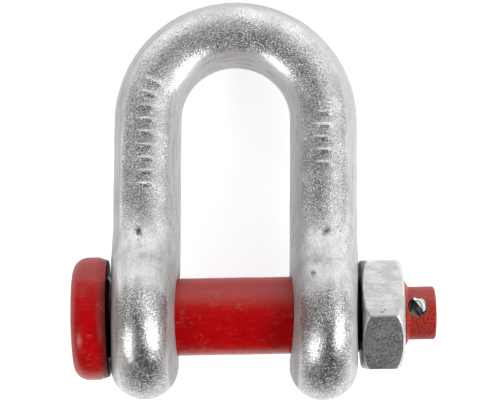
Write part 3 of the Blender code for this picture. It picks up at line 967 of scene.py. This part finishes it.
redLook = {
    "red": (0.54, 0.001, 0.002, 1),
    "deepRed": (0.47, 0.001, 0.002, 1),
    "paleRed": (0.44, 0.072, 0.067, 1),
    "tip": (0.47, 0.050, 0.030, 1),
    "tipDark": (0.30, 0.012, 0.008, 1),
    "worn": (0.50, 0.16, 0.13, 1),
    "chip": (0.09, 0.01, 0.01, 1),
    # near black: painted shade in the gaps and on the head's inner bevel
    "paintedShade": (0.015, 0.010, 0.010, 1),
    "steel": (0.30, 0.29, 0.28, 1),
    "gloss": 0.22,
    "patterns": {
        "clouds": (9.0, 3, 0.6),
        "drag": (1.1, 3, 0.6, (1, 1, 3), (4, 1, 0)),
        "specks": (0.8, 1, 0.5, (1, 1, 1), (3, 3, 3)),
        "grain": (0.6, 2, 0.6),
        "ripple": (2.6, 2, 0.5, (1, 1, 1), (1, 6, 2)),
        "curl": (1.7, 2, 0.6, (1, 1, 1.6), (8, 2, 6)),
        "where": (4.5, 1, 0.5, (1, 1, 1), (2, 7, 9)),
        "flecks": (0.50, 2, 0.6, (1, 1, 1), (6, 4, 2)),
    },
    # roughness of the paint between its brush drags, and the least where it is dull
    "rough": (0.22, 0.32),
    "dullRough": 0.45,
}


def redFinish():
    # brushed-on red over the forging: one paler side, dusty rims, thin curled scuffs, dark chips, a bare hole,
    # and near-black painted shade in the gaps beside the eyes and on the head's inner bevel
    look = redLook
    material, tree, shader = newMaterial("redPaint")
    layers = ("bare", "paleRed", "rim", "bevel", "tip", "gapShade")
    bare, paleRed, rim, bevel, tip, gapShade = [attributeOf(tree, name, "Fac") for name in layers]
    patterns = patternsOf(tree, attributeOf(tree, "place"), look["patterns"])
    clouds, drag, specks, grain, ripple, curl, where, flecks = patterns
    tone = mixColours(tree, ramp(tree, clouds, 0.38, 0.62), look["deepRed"], look["red"])
    flecked = mixColours(tree, ramp(tree, flecks, 0.42, 0.60), look["tip"], look["tipDark"])
    tone = mixColours(tree, tip, tone, flecked)
    # a scuff follows the line on which the curl noise passes its middle, where a second noise is high
    offLine = addNode(tree, "Math", {0: plus(tree, curl, -0.5)}, operation="ABSOLUTE").outputs[0]
    often = ramp(tree, plus(tree, where, times(tree, bevel, 0.08)), 0.56, 0.64)
    scuff = times(tree, ramp(tree, offLine, 0.002, 0.018, 0.6, 0.0), often)
    # what lies over the paint, from the first to the last; the two near-black layers are painted shade
    covers = [
        (times(tree, paleRed, 0.85), "paleRed"),
        (times(tree, bevel, ramp(tree, paleRed, 0.0, 1.0, 0.62, 0.15)), "paintedShade"),
        (times(tree, rim, 0.7), "paleRed"),
        (ramp(tree, drag, 0.50, 0.75, 0.0, 0.08), "paleRed"),
        (scuff, "worn"),
        (ramp(tree, specks, 0.70, 0.76, 0.0, 0.6), "chip"),
        (times(tree, gapShade, 0.985), "paintedShade"),
        (bare, "steel"),
    ]
    for amount, colour in covers:
        tone = mixColours(tree, amount, tone, look[colour])
    dull = larger(tree, larger(tree, rim, bevel), larger(tree, paleRed, tip))
    rough = ramp(tree, drag, 0.35, 0.7, *look["rough"])
    rough = larger(tree, rough, ramp(tree, dull, 0.0, 1.0, 0.0, look["dullRough"]))
    bump = bumpFrom(tree, [(grain, 0.02), (ripple, 0.04), (drag, 0.02), (scuff, 0.03)])
    shader.inputs["Specular IOR Level"].default_value = look["gloss"]
    connect(tree, shader, {"Base Color": tone, "Roughness": rough, "Normal": bump, "Metallic": bare})
    return material


nutLook = {
    "steel": (0.74, 0.74, 0.735, 1),
    "dull": (0.56, 0.56, 0.555, 1),
    "mark": (0.12, 0.12, 0.12, 1),
    "patterns": {
        "lines": (0.30, 2, 0.6, (1, 1, 26)),
        "clouds": (3.2, 3, 0.6, (1, 1, 1.8), (6, 2, 5)),
        "mottle": (0.45, 2, 0.6, (1, 1, 1.5), (1, 4, 3)),
        "specks": (0.9, 1, 0.5, (1, 1, 1), (9, 1, 2)),
        "film": (0.40, 3, 0.65, (1, 1, 1.8), (5, 7, 1)),
        "grain": (0.5, 2, 0.6),
    },
}


def nutSteelFinish():
    # drawn hexagon bar: fine lines along the nut's axis, a mottled dull film, tiny pits
    look = nutLook
    material, tree, shader = newMaterial("nutSteel")
    patterns = patternsOf(tree, attributeOf(tree, "place"), look["patterns"])
    lines, clouds, mottle, specks, film, grain = patterns
    tone = mixColours(tree, ramp(tree, clouds, 0.38, 0.62), look["dull"], look["steel"])
    tone = mixColours(tree, ramp(tree, lines, 0.38, 0.58, 0.8, 0.0), tone, look["dull"])
    tone = mixColours(tree, ramp(tree, specks, 0.70, 0.76), tone, look["mark"])
    rough = ramp(tree, clouds, 0.35, 0.65, 0.46, 0.34)
    rough = plus(tree, rough, ramp(tree, mottle, 0.40, 0.62, -0.06, 0.08))
    bump = bumpFrom(tree, [(lines, 0.03), (grain, 0.03), (mottle, 0.03), (clouds, 0.03)])
    metal = ramp(tree, film, 0.50, 0.64, 1.0, 0.62)
    connect(tree, shader, {"Base Color": tone, "Roughness": rough, "Normal": bump, "Metallic": metal})
    return material


wireLook = {
    "bright": (0.80, 0.80, 0.79, 1),
    "dull": (0.62, 0.62, 0.61, 1),
    "patterns": {
        "lines": (0.25, 2, 0.6, (1, 12, 1)),
        "clouds": (1.8, 2, 0.6, (1, 1, 1), (3, 8, 1)),
    },
}


def wireFinish():
    # drawn wire: faint lines along it and a soft cloud of dull film
    look = wireLook
    material, tree, shader = newMaterial("wireSteel")
    lines, clouds = patternsOf(tree, attributeOf(tree, "place"), look["patterns"])
    tone = mixColours(tree, ramp(tree, clouds, 0.36, 0.62), look["dull"], look["bright"])
    rough = ramp(tree, lines, 0.3, 0.7, 0.18, 0.34)
    bump = bumpFrom(tree, [(lines, 0.01), (clouds, 0.02)])
    shader.inputs["Metallic"].default_value = 1.0
    connect(tree, shader, {"Base Color": tone, "Roughness": rough, "Normal": bump})
    return material


# (name, surface, place, material, body, node, slot, finish)
pieces = [
    ("bow_forging", bowSurface(), bowPlace, galvanisedFinish(), "bow", "shackle_bow", "galvanised", bowFinish),
    ("bolt_forging", boltSurface(), boltPlace, redFinish(), "bolt", "bolt", "red_paint", boltFinish),
    ("nut_blank", nutSurface(), nutPlace, nutSteelFinish(), "nut", "hex_nut", "nut_steel", nutFinish),
    ("split_wire", wireSurface(), wirePlace, wireFinish(), "split_pin", "split_pin", "wire_steel", wireSkin),
]
for piece in pieces:
    pieceFrom(*piece)


# Floor, light and camera

studio = {
    "floorHalf": 3.0,
    "floorColour": (0.62, 0.62, 0.62, 1),
    "floorGlow": 0.76,
    # the metal sees the floor darken between these distances in front of the shackle, as the paper's end
    "paperEnd": (-0.10, -0.17),
    "pastPaper": 0.12,
    "skyBase": 0.065,
    # soft patches of light in the room: (direction, sharpness, strength)
    "glows": [
        ((0.0, 1.0, 0.22), 4.0, 0.46),
        ((0.62, 0.70, 0.30), 6.0, 0.70),
        ((-0.50, 0.75, 0.25), 6.0, 0.45),
        ((0.65, 0.25, 0.72), 16.0, 1.55),
        ((-0.65, -0.45, 0.61), 25.0, 0.90),
        ((-0.85, 0.20, 0.49), 12.0, 0.22),
    ],
    # soft boxes: (azimuth, elevation, lean, distance, width, height, radiance)
    "boxes": [
        (-23.0, 32.0, 17.0, 0.9, 0.38, 0.56, 7.6),
        (217.0, 25.5, -27.0, 0.9, 0.21, 0.46, 8.8),
        (90.0, 15.0, 0.0, 0.9, 1.90, 0.54, 0.75),
    ],
}


def lightPath(tree, names):
    # 1 for any of these kinds of ray
    path = addNode(tree, "LightPath")
    total = path.outputs[names[0]]
    for name in names[1:]:
        total = larger(tree, total, path.outputs[name])
    return total


def floorStage():
    # a wide pale floor; a glow that only seen rays meet lifts it to white and leaves the shadow
    half = studio["floorHalf"]
    mesh = bpy.data.meshes.new("floor")
    corners = [(-half, -half, 0), (half, -half, 0), (half, half, 0), (-half, half, 0)]
    mesh.from_pydata(corners, [], [(0, 1, 2, 3)])
    floor = bpy.data.objects.new("floor", mesh)
    bpy.context.scene.collection.objects.link(floor)
    material, tree, shader = newMaterial("floorPaper")
    shader.inputs["Base Color"].default_value = studio["floorColour"]
    shader.inputs["Roughness"].default_value = 1.0
    shader.inputs["Specular IOR Level"].default_value = 0.0
    seen = lightPath(tree, ["Is Camera Ray", "Is Glossy Ray", "Is Transmission Ray"])
    glow = addNode(tree, "Emission", {"Strength": times(tree, seen, studio["floorGlow"])})
    both = addNode(tree, "AddShader", {0: shader.outputs[0], 1: glow.outputs[0]})
    spot = addNode(tree, "SeparateXYZ", {0: addNode(tree, "TexCoord").outputs["Object"]}).outputs["Y"]
    near, far = studio["paperEnd"]
    past = ramp(tree, spot, far, near, 1 - studio["pastPaper"], 0.0)
    past = times(tree, past, lightPath(tree, ["Is Glossy Ray"]))
    dark = addNode(tree, "Emission", {"Strength": 0.0})
    paper = addNode(tree, "MixShader", {0: past, 1: both.outputs[0], 2: dark.outputs[0]})
    tree.links.new(paper.outputs[0], tree.nodes["Material Output"].inputs["Surface"])
    mesh.materials.append(material)
    print("floor", 2 * half, "m wide")


def roomLight():
    # the room's brightness by direction: a base and soft patches, each strength * e^(sharpness * (cosine - 1))
    world = bpy.data.worlds.new("studio")
    bpy.context.scene.world = world
    world.use_nodes = True
    tree = world.node_tree
    direction = addNode(tree, "TexCoord").outputs["Generated"]
    total = None
    for towards, sharpness, strength in studio["glows"]:
        aim = Vector(towards).normalized()
        cosine = addNode(tree, "VectorMath", {0: direction, 1: aim}, operation="DOT_PRODUCT").outputs["Value"]
        power = times(tree, plus(tree, cosine, -1.0), sharpness)
        bell = addNode(tree, "Math", {0: power}, operation="EXPONENT").outputs[0]
        patch = times(tree, bell, strength)
        total = patch if total is None else plus(tree, total, patch)
    total = plus(tree, total, studio["skyBase"])
    seen = lightPath(tree, ["Is Camera Ray"])
    level = addNode(tree, "Mix", {0: seen, 2: total, 3: 1.0}, data_type="FLOAT").outputs[0]
    tree.links.new(level, tree.nodes["Background"].inputs["Strength"])
    tree.nodes["Background"].inputs["Color"].default_value = (1, 1, 1, 1)
    print("room light with", len(studio["glows"]), "soft patches")


def softBoxes():
    # rectangular lamps that face the object; a lamp's power is its radiance times pi times its area
    for number, sizes in enumerate(studio["boxes"]):
        azimuth, elevation, lean, distance, width, height, radiance = sizes
        turn, rise = radians(azimuth), radians(elevation)
        away = Vector((cos(turn) * cos(rise), sin(turn) * cos(rise), sin(rise)))
        lamp = bpy.data.lights.new("softBox%d" % number, "AREA")
        lamp.shape = "RECTANGLE"
        lamp.size = width
        lamp.size_y = height
        lamp.energy = radiance * pi * width * height
        box = bpy.data.objects.new(lamp.name, lamp)
        upright = away.to_track_quat("Z", "Y").to_matrix()
        box.rotation_euler = (upright @ Matrix.Rotation(radians(lean), 3, "Z")).to_euler()
        box.location = away * distance
        box.visible_camera = False
        bpy.context.scene.collection.objects.link(box)
        print("soft box", number, "lit")


floorStage()
roomLight()
softBoxes()

# straight down over the shackle, turned as the photo was; the focal length is in pixels of its width
cameraSizes = {
    "pixelFocal": 1970.0,
    "imageWidth": 500,
    "sensorWidth": 36.0,
    "place": (-0.001585, -0.000448, 0.6775),
    "turn": radians(0.33),
}
camera = bpy.data.objects.new("camera", bpy.data.cameras.new("camera"))
bpy.context.scene.collection.objects.link(camera)
camera.data.sensor_width = cameraSizes["sensorWidth"]
camera.data.lens = cameraSizes["pixelFocal"] * cameraSizes["sensorWidth"] / cameraSizes["imageWidth"]
camera.location = cameraSizes["place"]
camera.rotation_euler = (0, 0, cameraSizes["turn"])
bpy.context.scene.camera = camera
bpy.context.scene.view_settings.view_transform = "Standard"
print("camera set, lens", round(camera.data.lens, 1), "mm")
